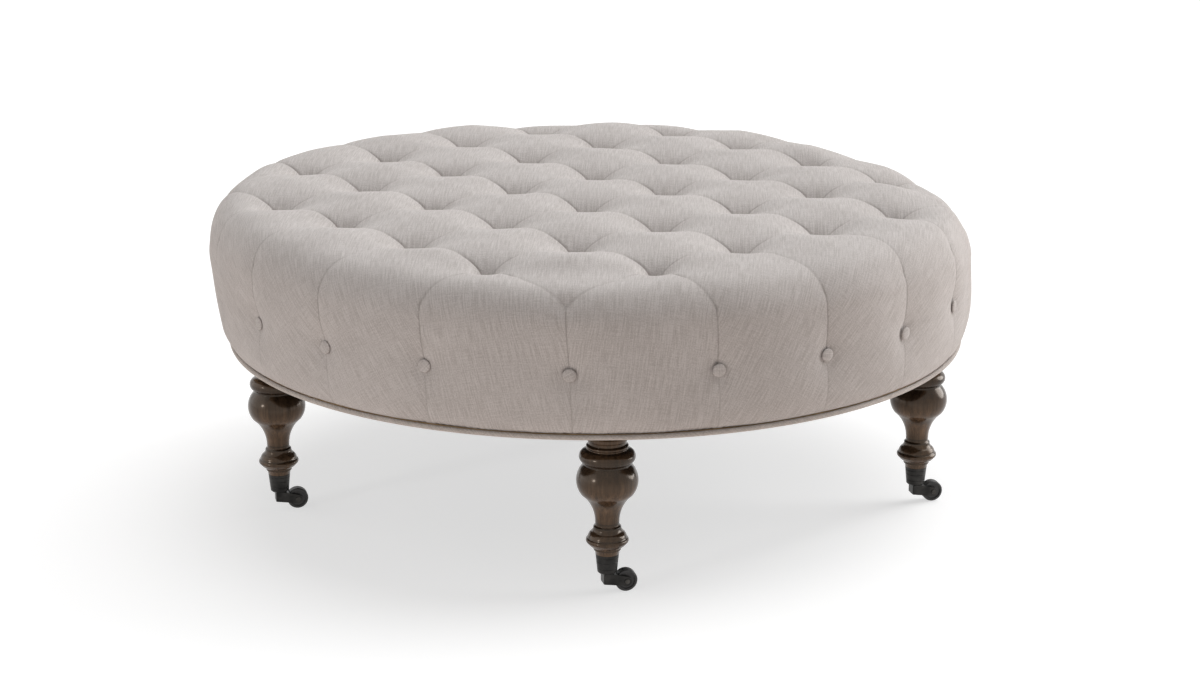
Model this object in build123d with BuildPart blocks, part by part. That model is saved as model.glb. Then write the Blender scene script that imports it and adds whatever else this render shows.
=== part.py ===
from build123d import *
import math
import os

os.makedirs("parts", exist_ok=True)

# Round tufted ottoman on five turned legs with cup casters.
# The origin is on the floor under its centre, +Z is up, and a leg stands at the front, towards -Y.

# Overall sizes, in millimetres
outer_diameter = 1066.8
total_height = 432.0
underside_share = 0.506944
leg_count = 5
leg_circle_inset = 66.4
cut_overrun = 5.0
soft_gap = 0.3

# Frame: a plywood ring, a bent hoop, a deck, two joists and a block over each leg
side_padding_depth = 21.4
ring_thickness = 18.0
ring_width = 132.0
hoop_wall = 12.0
deck_thickness = 18.0
joist_thickness = 22.0
joist_offset_share = 0.316406
block_length = 60.0
block_width = 80.0
block_height_share = 0.5
block_inset = 5.0

# Bolts, nuts and screws
bolt_radius = 4.0
bolt_depth_in_leg = 55.0
bolt_end = 4.0
washer_radius = 10.0
washer_thickness = 2.0
nut_radius = 7.5
nut_height = 6.5
bolt_clearance = 0.4
fit_gap = 0.05
screw_radius = 2.0
screw_length = 40.0
screw_head_radius = 4.0
screw_head_height = 2.5
block_screw_offset = 30.0
deck_screw_count = 15
deck_screw_turn = 4.0

# Upholstery: the pad's crown and shoulder, the padded side and the tufting. The pad's thickness is a
# share of the height above the legs, its levels are shares of it, and the tufting follows the waist.
pad_share = 0.455399
flank_inset = 10.4
flank_rise_share = 0.649485
side_inset = 15.4
core_inset = 17.0
core_share = 0.360825
tuft_pitch_share = 0.197788
tuft_field_share = 0.834271
tuft_turn = -5.0
tuft_depth_share = 0.350515
tuft_pit_radius = 46.0
pleat_valley_depth = 12.0
pleat_valley_bow = 1.5
pleat_valley_overrun = 2.0
pleat_line_width = 3.0
pleat_line_depth = 1.5
pleat_top_share = 0.536082
button_radius = 8.5
button_edge = 2.0
button_dome = 2.6
button_margin = 1.5
side_button_drop = 12.0
side_pit_depth = 8.5
side_pit_radius = 32.0
side_pit_bow = 2.0
twine_radius = 0.9
twine_hole_radius = 1.5
tie_radius = 6.0
tie_thickness = 1.2
tie_gap = 0.1

# Welt, dust cover and its staples
welt_radius = 3.0
cover_thickness = 0.8
cover_inset = 8.0
cover_leg_gap = 0.5
staple_count = 30
staple_crown = 10.0
staple_wire = 1.0
staple_inset = 12.0

# Turned leg
bulb_radius = 39.3
ferrule_top_z = 52.0
peg_top_radius = 13.7
peg_bottom_radius = 11.4

# Cup caster: ferrule, pin, horn, axle and wheel
ferrule_radius = 15.0
ferrule_bottom_radius = 12.6
ferrule_bottom_z = 26.0
ferrule_floor = 3.0
ferrule_edge = 2.0
ferrule_line_radius = 0.5
ferrule_line_shares = (0.28, 0.62, 0.86)
cup_gap = 0.1
pin_radius = 3.0
pin_head_radius = 4.4
pin_head_height = 1.8
pin_head_gap = 0.3
running_gap = 0.08
horn_gap = 0.3
horn_bottom_z = 13.0
horn_half_length = 6.5
horn_corner = 2.0
cheek_thickness = 2.2
cheek_gap = 0.5
boss_radius = 6.0
axle_radius = 2.0
axle_head_radius = 3.2
axle_head_height = 1.2
wheel_radius = 14.5
wheel_width = 13.0
wheel_edge = 2.0
wheel_slot_gap = 1.2
hub_radius = 5.0
hub_extra = 0.3
rim_inner_radius = 11.0
web_recess = 1.5
trail = 24.0
trail_turn = 12.0

# Levels and radii that follow from the sizes above
waist_radius = outer_diameter / 2
underside_z = underside_share * total_height
pad_thickness = pad_share * (total_height - underside_z)
leg_circle_radius = waist_radius - leg_circle_inset
frame_radius = waist_radius - side_padding_depth
ring_inner_radius = frame_radius - ring_width
joist_offset = joist_offset_share * frame_radius
core_radius = frame_radius - core_inset
core_thickness = core_share * pad_thickness
flank_rise = flank_rise_share * pad_thickness
pleat_top_rise = pleat_top_share * pad_thickness
tuft_depth = tuft_depth_share * pad_thickness
tuft_pitch = tuft_pitch_share * waist_radius
tuft_field_radius = tuft_field_share * waist_radius
ring_top_z = underside_z + ring_thickness
deck_top_z = total_height - pad_thickness
deck_z = deck_top_z - deck_thickness
hoop_height = deck_z - ring_top_z
block_height = block_height_share * hoop_height
side_button_z = deck_z - side_button_drop
hoop_inner_radius = frame_radius - hoop_wall
block_top_z = ring_top_z + block_height
padding_bottom_z = underside_z + 2 * welt_radius + soft_gap
core_top_z = deck_top_z + core_thickness
tuft_seat_z = total_height - tuft_depth
side_seat_radius = waist_radius - side_pit_depth
pit_floor_radius = button_radius + button_margin
leg_height = underside_z - ferrule_top_z
peg_bottom_z = ferrule_bottom_z + ferrule_floor + horn_gap
horn_top_z = ferrule_bottom_z - horn_gap
cheek_inner = wheel_width / 2 + hub_extra + cheek_gap
cheek_outer = cheek_inner + cheek_thickness
cell_half = tuft_pitch / math.sqrt(2)
quarter_turn = 90
leg_turns = [360 / leg_count * i - quarter_turn for i in range(leg_count)]


# Places where the object repeats
def around(radius, turn, z=0):
    angle = math.radians(turn)
    return (radius * math.cos(angle), radius * math.sin(angle), z)


def tuft_points():
    reach = int(tuft_field_radius / tuft_pitch)
    points = []
    for row in range(-reach, reach + 1):
        for column in range(-reach, reach + 1):
            radius = tuft_pitch * math.hypot(row, column)
            if (row + column) % 2 == 1 and radius < tuft_field_radius:
                turn = math.degrees(math.atan2(row, column)) + tuft_turn
                points.append(around(radius, turn))
    return points


def side_turns():
    # A seam runs down the side where each pleat line of the top crosses the waist.
    turns = []
    for quarter in range(4):
        middle_turn = quarter_turn * quarter + tuft_turn
        turns.append(middle_turn)
        for order in (1, 3):
            lean = math.degrees(math.acos(order * cell_half / waist_radius)) - quarter_turn / 2
            turns.append(middle_turn + lean)
            turns.append(middle_turn - lean)
    return turns


def pleat_places():
    places = []
    for family_turn in (quarter_turn / 2, -quarter_turn / 2):
        for order in (-5, -3, -1, 1, 3, 5):
            turn = family_turn + tuft_turn
            x, y, z = around(order * cell_half, turn + quarter_turn)
            places.append(Location((x, y, z), (0, 0, turn)))
    return places


tufts = tuft_points()
side_places = [Location((0, 0, 0), (0, 0, turn)) for turn in side_turns()]
leg_places = [Location(around(leg_circle_radius, turn)) for turn in leg_turns]
block_places = [
    Location(around(leg_circle_radius - block_inset, turn), (0, 0, turn)) for turn in leg_turns
]
caster_places = [
    Location(around(leg_circle_radius, turn), (0, 0, trail_turn)) for turn in leg_turns
]


# Countersunk screw, head up, its head's face at the origin, and the hole that it leaves
def screw_outline(gap):
    Polyline(
        (0, 0),
        (screw_head_radius + gap, 0),
        (screw_radius + gap, -screw_head_height),
        (screw_radius + gap, -screw_length - gap),
        (0, -screw_length - gap),
        close=True,
    )


with BuildPart() as screw_form:
    with BuildSketch(Plane.XZ):
        with BuildLine():
            screw_outline(0)
        make_face()
    revolve(axis=Axis.Z)

with BuildPart() as screw_hole_form:
    with BuildSketch(Plane.XZ):
        with BuildLine():
            screw_outline(fit_gap)
        make_face()
    revolve(axis=Axis.Z)

deck_screw_places = [
    Location(around(frame_radius - hoop_wall / 2, 360 / deck_screw_count * i + deck_screw_turn, deck_top_z))
    for i in range(deck_screw_count)
]
block_screw_places = [
    place * Location((0, side * block_screw_offset, underside_z), (180, 0, 0))
    for place in block_places
    for side in (-1, 1)
]


# Frame
with BuildPart() as base_ring:
    with BuildSketch(Plane.XY.offset(underside_z)):
        Circle(frame_radius)
        Circle(ring_inner_radius, mode=Mode.SUBTRACT)
        with Locations(*[place.position for place in leg_places]):
            Circle(bolt_radius + bolt_clearance, mode=Mode.SUBTRACT)
    extrude(amount=ring_thickness)
    with Locations(*block_screw_places):
        add(screw_hole_form.part, mode=Mode.SUBTRACT)
base_ring.part.label = "base_ring"
export_step(base_ring.part, "parts/base_ring.step")

with BuildPart() as side_hoop:
    with BuildSketch(Plane.XY.offset(ring_top_z)):
        Circle(frame_radius)
        Circle(hoop_inner_radius, mode=Mode.SUBTRACT)
    extrude(amount=hoop_height)
    for turn in side_turns():
        with BuildSketch(Plane(origin=(0, 0, side_button_z), x_dir=(0, 0, 1), z_dir=around(1, turn))):
            Circle(twine_hole_radius)
        extrude(amount=frame_radius + cut_overrun, mode=Mode.SUBTRACT)
    with Locations(*deck_screw_places):
        add(screw_hole_form.part, mode=Mode.SUBTRACT)
side_hoop.part.label = "side_hoop"
export_step(side_hoop.part, "parts/side_hoop.step")

with BuildPart() as deck_board:
    with BuildSketch(Plane.XY.offset(deck_z)):
        Circle(frame_radius)
        with Locations(*tufts):
            Circle(twine_hole_radius, mode=Mode.SUBTRACT)
    extrude(amount=deck_thickness)
    with Locations(*deck_screw_places):
        add(screw_hole_form.part, mode=Mode.SUBTRACT)
deck_board.part.label = "deck_board"
export_step(deck_board.part, "parts/deck_board.step")

joist_half_length = math.sqrt(hoop_inner_radius**2 - (joist_offset + joist_thickness / 2) ** 2) - soft_gap
for joist_name, joist_x in (("left_joist", -joist_offset), ("right_joist", joist_offset)):
    with BuildPart() as joist:
        with BuildSketch(Plane.XY.offset(ring_top_z)):
            with Locations((joist_x, 0)):
                Rectangle(joist_thickness, 2 * joist_half_length)
        extrude(amount=hoop_height)
    joist.part.label = joist_name
    export_step(joist.part, f"parts/{joist_name}.step")

with BuildPart() as block_form:
    with BuildSketch(Plane.XY.offset(ring_top_z)):
        Rectangle(block_length, block_width)
        with Locations((block_inset, 0)):
            Circle(bolt_radius + bolt_clearance, mode=Mode.SUBTRACT)
    extrude(amount=block_height)

for i, place in enumerate(block_places):
    with BuildPart() as leg_block:
        with Locations(place):
            add(block_form.part)
        with Locations(*block_screw_places):
            add(screw_hole_form.part, mode=Mode.SUBTRACT)
    leg_block.part.label = f"leg_block_{i + 1}"
    export_step(leg_block.part, f"parts/leg_block_{i + 1}.step")


# Fasteners, each kind a group of separate solids
with BuildPart() as deck_screws:
    with Locations(*deck_screw_places):
        add(screw_form.part)
deck_screws.part.label = "deck_screws"
export_step(deck_screws.part, "parts/deck_screws.step")

with BuildPart() as block_screws:
    with Locations(*block_screw_places):
        add(screw_form.part)
block_screws.part.label = "block_screws"
export_step(block_screws.part, "parts/block_screws.step")

bolt_bottom_z = underside_z - bolt_depth_in_leg
bolt_top_z = block_top_z + washer_thickness + nut_height + bolt_end
with BuildPart() as hanger_bolts:
    with BuildSketch(Plane.XY.offset(bolt_bottom_z)):
        with Locations(*[place.position for place in leg_places]):
            Circle(bolt_radius)
    extrude(amount=bolt_top_z - bolt_bottom_z)
hanger_bolts.part.label = "hanger_bolts"
export_step(hanger_bolts.part, "parts/hanger_bolts.step")

with BuildPart() as bolt_washers:
    with BuildSketch(Plane.XY.offset(block_top_z)):
        with Locations(*[place.position for place in leg_places]):
            Circle(washer_radius)
            Circle(bolt_radius + bolt_clearance, mode=Mode.SUBTRACT)
    extrude(amount=washer_thickness)
bolt_washers.part.label = "bolt_washers"
export_step(bolt_washers.part, "parts/bolt_washers.step")

with BuildPart() as bolt_nuts:
    with BuildSketch(Plane.XY.offset(block_top_z + washer_thickness)):
        with Locations(*[place.position for place in leg_places]):
            RegularPolygon(nut_radius, 6)
            Circle(bolt_radius + fit_gap, mode=Mode.SUBTRACT)
    extrude(amount=nut_height)
bolt_nuts.part.label = "bolt_nuts"
export_step(bolt_nuts.part, "parts/bolt_nuts.step")


# Upholstery
flank_radius = (flank_rise**2 + flank_inset**2) / (2 * flank_inset)
flank_turn = math.degrees(math.asin(flank_rise / flank_radius))
shoulder_rise = total_height - deck_top_z - flank_rise
shoulder_radius = shoulder_rise / (1 - math.sin(math.radians(flank_turn)))
side_drop = deck_top_z - padding_bottom_z
side_radius = (side_drop**2 + side_inset**2) / (2 * side_inset)
side_turn = math.degrees(math.asin(side_drop / side_radius))

# Cutting shapes for the tufting: the pit at a button, the valley along a pleat and the seam line
with BuildPart() as pit_form:
    pit_round = tuft_pit_radius - pit_floor_radius
    with BuildSketch(Plane.XZ):
        with BuildLine():
            pit_floor = Line((0, tuft_seat_z), (pit_floor_radius, tuft_seat_z))
            pit_wall = JernArc(pit_floor @ 1, (0, 1), pit_round, -90)
            Polyline(
                pit_wall @ 1,
                (tuft_pit_radius, tuft_seat_z + pit_round + cut_overrun),
                (0, tuft_seat_z + pit_round + cut_overrun),
                (0, tuft_seat_z),
            )
        make_face()
    revolve(axis=Axis.Z)

with BuildPart() as pleat_form:
    valley_z = total_height - pleat_valley_depth
    valley_crest = (cell_half - cut_overrun, total_height + pleat_valley_overrun)
    valley_crest_left = (-valley_crest[0], valley_crest[1])
    with BuildSketch(Plane.YZ):
        with BuildLine():
            SagittaArc((0, valley_z), valley_crest, pleat_valley_bow)
            Polyline(
                valley_crest,
                (valley_crest[0], total_height + 2 * cut_overrun),
                (valley_crest_left[0], total_height + 2 * cut_overrun),
                valley_crest_left,
            )
            SagittaArc(valley_crest_left, (0, valley_z), pleat_valley_bow)
        make_face()
    extrude(amount=waist_radius, both=True)

with BuildPart() as side_pit_form:
    side_pit_depth_cut = waist_radius - side_seat_radius + cut_overrun
    with BuildSketch(Plane.XZ):
        with BuildLine():
            Polyline(
                (side_seat_radius, side_button_z),
                (side_seat_radius, side_button_z + pit_floor_radius),
            )
            SagittaArc(
                (side_seat_radius, side_button_z + pit_floor_radius),
                (waist_radius, side_button_z + side_pit_radius),
                side_pit_bow,
            )
            Polyline(
                (waist_radius, side_button_z + side_pit_radius),
                (side_seat_radius + side_pit_depth_cut, side_button_z + side_pit_radius),
                (side_seat_radius + side_pit_depth_cut, side_button_z),
                (side_seat_radius, side_button_z),
            )
        make_face()
    revolve(axis=Axis((0, 0, side_button_z), (1, 0, 0)))

line_sweep = math.degrees(pleat_line_width / waist_radius)
with BuildPart() as side_line_form:
    with BuildSketch(Plane.XZ):
        with BuildLine():
            line_waist = (waist_radius - pleat_line_depth, deck_top_z)
            line_side = JernArc(line_waist, (0, -1), side_radius, -side_turn)
            line_out = waist_radius + cut_overrun
            Polyline(
                line_side @ 1,
                (line_out, (line_side @ 1).Y),
                (line_out, deck_top_z),
                line_waist,
            )
        make_face()
    revolve(axis=Axis.Z, revolution_arc=line_sweep)

with BuildPart() as flank_line_form:
    with BuildSketch(Plane.XZ):
        with BuildLine():
            flank_line_turn = math.degrees(math.asin(pleat_top_rise / flank_radius))
            flank_line = JernArc(line_waist, (0, 1), flank_radius, flank_line_turn)
            Polyline(
                flank_line @ 1,
                (line_out, (flank_line @ 1).Y),
                (line_out, deck_top_z),
                line_waist,
            )
        make_face()
    revolve(axis=Axis.Z, revolution_arc=line_sweep)

with BuildPart() as tufted_cushion:
    with BuildSketch(Plane.XZ):
        with BuildLine():
            flank = JernArc((waist_radius, deck_top_z), (0, 1), flank_radius, flank_turn)
            shoulder = JernArc(flank @ 1, flank % 1, shoulder_radius, 90 - flank_turn)
            Polyline(
                shoulder @ 1,
                (0, total_height),
                (0, core_top_z + soft_gap),
                (core_radius + soft_gap, core_top_z + soft_gap),
                (core_radius + soft_gap, deck_top_z),
                (waist_radius, deck_top_z),
            )
        make_face()
    revolve(axis=Axis.Z)
    with Locations(*pleat_places()):
        add(pleat_form.part, mode=Mode.SUBTRACT)
    with Locations(*tufts):
        add(pit_form.part, mode=Mode.SUBTRACT)
    with Locations(*side_places):
        add(flank_line_form.part, mode=Mode.SUBTRACT)
    with BuildSketch(Plane.XY.offset(deck_top_z)):
        with Locations(*tufts):
            Circle(twine_hole_radius)
    extrude(amount=total_height - deck_top_z, mode=Mode.SUBTRACT)
tufted_cushion.part.label = "tufted_cushion"
export_step(tufted_cushion.part, "parts/tufted_cushion.step")

with BuildPart() as side_padding:
    with BuildSketch(Plane.XZ):
        with BuildLine():
            side = JernArc((waist_radius, deck_top_z), (0, -1), side_radius, -side_turn)
            Polyline(
                side @ 1,
                (frame_radius + soft_gap, padding_bottom_z),
                (frame_radius + soft_gap, deck_top_z),
                (waist_radius, deck_top_z),
            )
        make_face()
    revolve(axis=Axis.Z)
    with Locations(*side_places):
        add(side_line_form.part, mode=Mode.SUBTRACT)
    with Locations(*side_places):
        add(side_pit_form.part, mode=Mode.SUBTRACT)
    for turn in side_turns():
        with BuildSketch(Plane(origin=(0, 0, side_button_z), x_dir=(0, 0, 1), z_dir=around(1, turn))):
            Circle(twine_hole_radius)
        extrude(amount=waist_radius + cut_overrun, mode=Mode.SUBTRACT)
side_padding.part.label = "side_padding"
export_step(side_padding.part, "parts/side_padding.step")

with BuildPart() as foam_core:
    with BuildSketch(Plane.XY.offset(deck_top_z)):
        Circle(core_radius)
        with Locations(*tufts):
            Circle(twine_hole_radius, mode=Mode.SUBTRACT)
    extrude(amount=core_thickness)
foam_core.part.label = "foam_core"
export_step(foam_core.part, "parts/foam_core.step")

# A covered button: a flat back, a short edge and a domed face
with BuildPart() as button_form:
    with BuildSketch(Plane.XZ):
        with BuildLine():
            Polyline((0, button_edge + button_dome), (0, 0), (button_radius, 0), (button_radius, button_edge))
            dome_radius = (button_radius**2 + button_dome**2) / (2 * button_dome)
            RadiusArc((button_radius, button_edge), (0, button_edge + button_dome), -dome_radius)
        make_face()
    revolve(axis=Axis.Z)

with BuildPart() as top_buttons:
    with Locations(*tufts):
        with Locations((0, 0, tuft_seat_z)):
            add(button_form.part)
top_buttons.part.label = "top_buttons"
export_step(top_buttons.part, "parts/top_buttons.step")

with BuildPart() as side_buttons:
    with Locations(*side_places):
        with Locations(Location((side_seat_radius, 0, side_button_z), (0, 90, 0))):
            add(button_form.part)
side_buttons.part.label = "side_buttons"
export_step(side_buttons.part, "parts/side_buttons.step")

with BuildPart() as top_twines:
    with BuildSketch(Plane.XY.offset(deck_z - tie_thickness - tie_gap)):
        with Locations(*tufts):
            Circle(twine_radius)
    extrude(amount=tuft_seat_z - deck_z + tie_thickness + tie_gap)
top_twines.part.label = "top_twines"
export_step(top_twines.part, "parts/top_twines.step")

twine_start_radius = hoop_inner_radius - tie_thickness - tie_gap
with BuildPart() as twine_form:
    with BuildSketch(Plane.YZ.offset(twine_start_radius)):
        with Locations((0, side_button_z)):
            Circle(twine_radius)
    extrude(amount=side_seat_radius - twine_start_radius)

with BuildPart() as side_twines:
    with Locations(*side_places):
        add(twine_form.part)
side_twines.part.label = "side_twines"
export_step(side_twines.part, "parts/side_twines.step")

# Tie washers hold the twine's knots under the deck and inside the hoop
with BuildPart() as top_ties:
    with BuildSketch(Plane.XY.offset(deck_z - tie_gap)):
        with Locations(*tufts):
            Circle(tie_radius)
            Circle(twine_radius + fit_gap, mode=Mode.SUBTRACT)
    extrude(amount=-tie_thickness)
top_ties.part.label = "top_ties"
export_step(top_ties.part, "parts/top_ties.step")

with BuildPart() as tie_form:
    with BuildSketch(Plane.YZ.offset(twine_start_radius)):
        with Locations((0, side_button_z)):
            Circle(tie_radius)
            Circle(twine_radius + fit_gap, mode=Mode.SUBTRACT)
    extrude(amount=tie_thickness)

with BuildPart() as side_ties:
    with Locations(*side_places):
        add(tie_form.part)
side_ties.part.label = "side_ties"
export_step(side_ties.part, "parts/side_ties.step")

with BuildPart() as welt_cord:
    with BuildSketch(Plane.XZ):
        with Locations((frame_radius + soft_gap + welt_radius, underside_z + welt_radius)):
            Circle(welt_radius)
    revolve(axis=Axis.Z)
welt_cord.part.label = "welt_cord"
export_step(welt_cord.part, "parts/welt_cord.step")

# The leg's outline from its top down: radius as a share of the bulb, height as a share of the
# turned height, and each stretch's bow as a share of the bulb, outwards when it is above zero.
leg_outline_shares = (
    (0.725, 1.000, 0.0),
    (0.725, 0.976, 0.0),
    (0.625, 0.952, -0.03),
    (0.630, 0.905, 0.04),
    (0.615, 0.885, 0.0),
    (0.655, 0.875, 0.0),
    (0.655, 0.850, 0.03),
    (0.665, 0.842, 0.0),
    (0.735, 0.832, 0.0),
    (0.770, 0.733, 0.16),
    (0.765, 0.720, 0.0),
    (0.855, 0.486, 0.19),
    (0.392, 0.255, -0.125),
    (0.385, 0.234, 0.0),
    (0.450, 0.222, 0.0),
    (0.520, 0.180, -0.02),
    (0.630, 0.142, 0.02),
    (0.645, 0.132, 0.0),
    (0.645, 0.092, 0.05),
    (0.460, 0.057, 0.02),
    (0.445, 0.045, 0.0),
    (0.405, 0.030, 0.02),
)
leg_top_radius = leg_outline_shares[0][0] * bulb_radius


def leg_outline():
    corner = (leg_top_radius, underside_z)
    Line((0, underside_z), corner)
    for radius_share, height_share, bow_share in leg_outline_shares[1:]:
        following = (radius_share * bulb_radius, ferrule_top_z + height_share * leg_height)
        if bow_share:
            SagittaArc(corner, following, bow_share * bulb_radius)
        else:
            Line(corner, following)
        corner = following
    Polyline(
        corner,
        (ferrule_radius, ferrule_top_z),
        (peg_top_radius, ferrule_top_z),
        (peg_bottom_radius, peg_bottom_z),
        (0, peg_bottom_z),
        (0, underside_z),
    )


with BuildPart() as leg_form:
    with BuildSketch(Plane.XZ):
        with BuildLine():
            leg_outline()
        make_face()
    revolve(axis=Axis.Z)
    with BuildSketch(Plane.XY.offset(underside_z)):
        Circle(bolt_radius + fit_gap)
    extrude(amount=-bolt_depth_in_leg - fit_gap, mode=Mode.SUBTRACT)
    with BuildSketch(Plane.XY.offset(peg_bottom_z)):
        Circle(pin_head_radius + pin_head_gap)
    extrude(amount=pin_head_height + pin_head_gap, mode=Mode.SUBTRACT)

for i, place in enumerate(leg_places):
    with BuildPart() as leg:
        with Locations(place):
            add(leg_form.part)
    leg.part.label = f"leg_{i + 1}"
    export_step(leg.part, f"parts/leg_{i + 1}.step")

# The staples' crowns are pressed into the dust cover, flush with its face
with BuildPart() as dust_cover:
    with BuildSketch(Plane.XY.offset(underside_z)):
        Circle(frame_radius - cover_inset)
        with Locations(*[place.position for place in leg_places]):
            Circle(leg_top_radius + cover_leg_gap, mode=Mode.SUBTRACT)
        with PolarLocations(frame_radius - staple_inset, staple_count, start_angle=360 / staple_count / 2):
            Rectangle(staple_wire + 2 * fit_gap, staple_crown + 2 * fit_gap, mode=Mode.SUBTRACT)
    extrude(amount=-cover_thickness)
dust_cover.part.label = "dust_cover"
export_step(dust_cover.part, "parts/dust_cover.step")

with BuildPart() as cover_staples:
    with BuildSketch(Plane.XY.offset(underside_z)):
        with PolarLocations(frame_radius - staple_inset, staple_count, start_angle=360 / staple_count / 2):
            Rectangle(staple_wire, staple_crown)
    extrude(amount=-cover_thickness)
cover_staples.part.label = "cover_staples"
export_step(cover_staples.part, "parts/cover_staples.step")

# Casters, drawn under a leg that stands on the origin, with the wheel trailing along +X
with BuildPart() as ferrule_form:
    with BuildSketch(Plane.XZ):
        with BuildLine():
            Polyline(
                (pin_radius + fit_gap, ferrule_bottom_z),
                (ferrule_bottom_radius - ferrule_edge, ferrule_bottom_z),
                (ferrule_bottom_radius, ferrule_bottom_z + ferrule_edge),
                (ferrule_radius, ferrule_top_z),
                (peg_top_radius + cup_gap, ferrule_top_z),
                (peg_bottom_radius + cup_gap, ferrule_bottom_z + ferrule_floor),
                (pin_radius + fit_gap, ferrule_bottom_z + ferrule_floor),
                close=True,
            )
        make_face()
    revolve(axis=Axis.Z)
    line_slope = (ferrule_radius - ferrule_bottom_radius) / (ferrule_top_z - ferrule_bottom_z - ferrule_edge)
    for line_share in ferrule_line_shares:
        line_rise = line_share * (ferrule_top_z - ferrule_bottom_z)
        line_radius = ferrule_bottom_radius + line_slope * (line_rise - ferrule_edge)
        with BuildSketch(Plane.XZ):
            with Locations((line_radius, ferrule_bottom_z + line_rise)):
                Circle(ferrule_line_radius)
        revolve(axis=Axis.Z, mode=Mode.SUBTRACT)

pin_bottom_z = horn_bottom_z + pin_head_gap
with BuildPart() as pin_form:
    with BuildSketch(Plane.XZ):
        with BuildLine():
            Polyline(
                (0, pin_bottom_z),
                (pin_head_radius, pin_bottom_z),
                (pin_head_radius, pin_bottom_z + pin_head_height),
                (pin_radius, pin_bottom_z + pin_head_height),
                (pin_radius, ferrule_bottom_z + ferrule_floor),
                (pin_head_radius, ferrule_bottom_z + ferrule_floor),
                (pin_head_radius, ferrule_bottom_z + ferrule_floor + pin_head_height),
                (0, ferrule_bottom_z + ferrule_floor + pin_head_height),
                close=True,
            )
        make_face()
    revolve(axis=Axis.Z)

with BuildPart() as horn_form:
    with BuildSketch(Plane.XZ):
        with Locations((0, (horn_bottom_z + horn_top_z) / 2)):
            Rectangle(2 * horn_half_length, horn_top_z - horn_bottom_z)
        with Locations((trail, wheel_radius)):
            Circle(boss_radius)
        make_hull()
    extrude(amount=cheek_outer, both=True)
    back_edges = horn_form.edges().filter_by(Axis.Z).group_by(Axis.X)[0]
    fillet(back_edges, horn_corner)
    with BuildSketch(Plane.XZ):
        with Locations((trail, wheel_radius)):
            Circle(wheel_radius + wheel_slot_gap)
    extrude(amount=cheek_inner, both=True, mode=Mode.SUBTRACT)
    with BuildSketch(Plane.XZ):
        with Locations((trail, wheel_radius)):
            Circle(axle_radius + fit_gap)
    extrude(amount=cheek_outer, both=True, mode=Mode.SUBTRACT)
    with BuildSketch(Plane.XY.offset(horn_bottom_z)):
        Circle(pin_radius + running_gap)
    extrude(amount=horn_top_z - horn_bottom_z, mode=Mode.SUBTRACT)
    with BuildSketch(Plane.XY.offset(horn_bottom_z)):
        Circle(pin_head_radius + pin_head_gap)
    extrude(amount=pin_head_height + 2 * pin_head_gap, mode=Mode.SUBTRACT)

with BuildPart() as axle_form:
    with BuildSketch(Plane.XZ):
        with Locations((trail, wheel_radius)):
            Circle(axle_radius)
    extrude(amount=cheek_outer + axle_head_height, both=True)
    for face_side in (-1, 1):
        with BuildSketch(Plane.XZ.offset(face_side * cheek_outer)):
            with Locations((trail, wheel_radius)):
                Circle(axle_head_radius)
        extrude(amount=face_side * axle_head_height)

with BuildPart() as wheel_form:
    with BuildSketch(Plane.XY.offset(wheel_radius)):
        with BuildLine():
            half_width = wheel_width / 2
            web_half = half_width - web_recess
            Polyline(
                (trail + axle_radius + running_gap, -half_width - hub_extra),
                (trail + hub_radius, -half_width - hub_extra),
                (trail + hub_radius, -web_half),
                (trail + rim_inner_radius, -web_half),
                (trail + rim_inner_radius, -half_width),
                (trail + wheel_radius - wheel_edge, -half_width),
            )
            JernArc((trail + wheel_radius - wheel_edge, -half_width), (1, 0), wheel_edge, 90)
            Line(
                (trail + wheel_radius, -half_width + wheel_edge),
                (trail + wheel_radius, half_width - wheel_edge),
            )
            JernArc((trail + wheel_radius, half_width - wheel_edge), (0, 1), wheel_edge, 90)
            Polyline(
                (trail + wheel_radius - wheel_edge, half_width),
                (trail + rim_inner_radius, half_width),
                (trail + rim_inner_radius, web_half),
                (trail + hub_radius, web_half),
                (trail + hub_radius, half_width + hub_extra),
                (trail + axle_radius + running_gap, half_width + hub_extra),
                (trail + axle_radius + running_gap, -half_width - hub_extra),
            )
        make_face()
    revolve(axis=Axis((trail, 0, wheel_radius), (0, 1, 0)))

caster_forms = (
    ("ferrule", ferrule_form),
    ("caster_horn", horn_form),
    ("caster_axle", axle_form),
    ("caster_wheel", wheel_form),
)
for form_name, form in caster_forms:
    for i, place in enumerate(caster_places):
        with BuildPart() as caster_piece:
            with Locations(place):
                add(form.part)
        caster_piece.part.label = f"{form_name}_{i + 1}"
        export_step(caster_piece.part, f"parts/{form_name}_{i + 1}.step")

with BuildPart() as swivel_pins:
    with Locations(*leg_places):
        add(pin_form.part)
swivel_pins.part.label = "swivel_pins"
export_step(swivel_pins.part, "parts/swivel_pins.step")
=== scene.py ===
import bmesh
import bpy
import math
import numpy as np
from mathutils import Matrix, Vector


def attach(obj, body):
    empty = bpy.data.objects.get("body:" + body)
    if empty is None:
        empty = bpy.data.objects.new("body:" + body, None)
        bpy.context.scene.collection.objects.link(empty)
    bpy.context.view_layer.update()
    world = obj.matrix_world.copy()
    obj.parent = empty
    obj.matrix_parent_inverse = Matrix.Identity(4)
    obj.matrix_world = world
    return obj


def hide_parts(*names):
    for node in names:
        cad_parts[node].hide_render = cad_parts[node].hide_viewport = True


# Round tufted ottoman on five turned legs with cup casters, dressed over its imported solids.
# Metres, origin on the floor under the centre, a leg at the front towards -Y.

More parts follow.
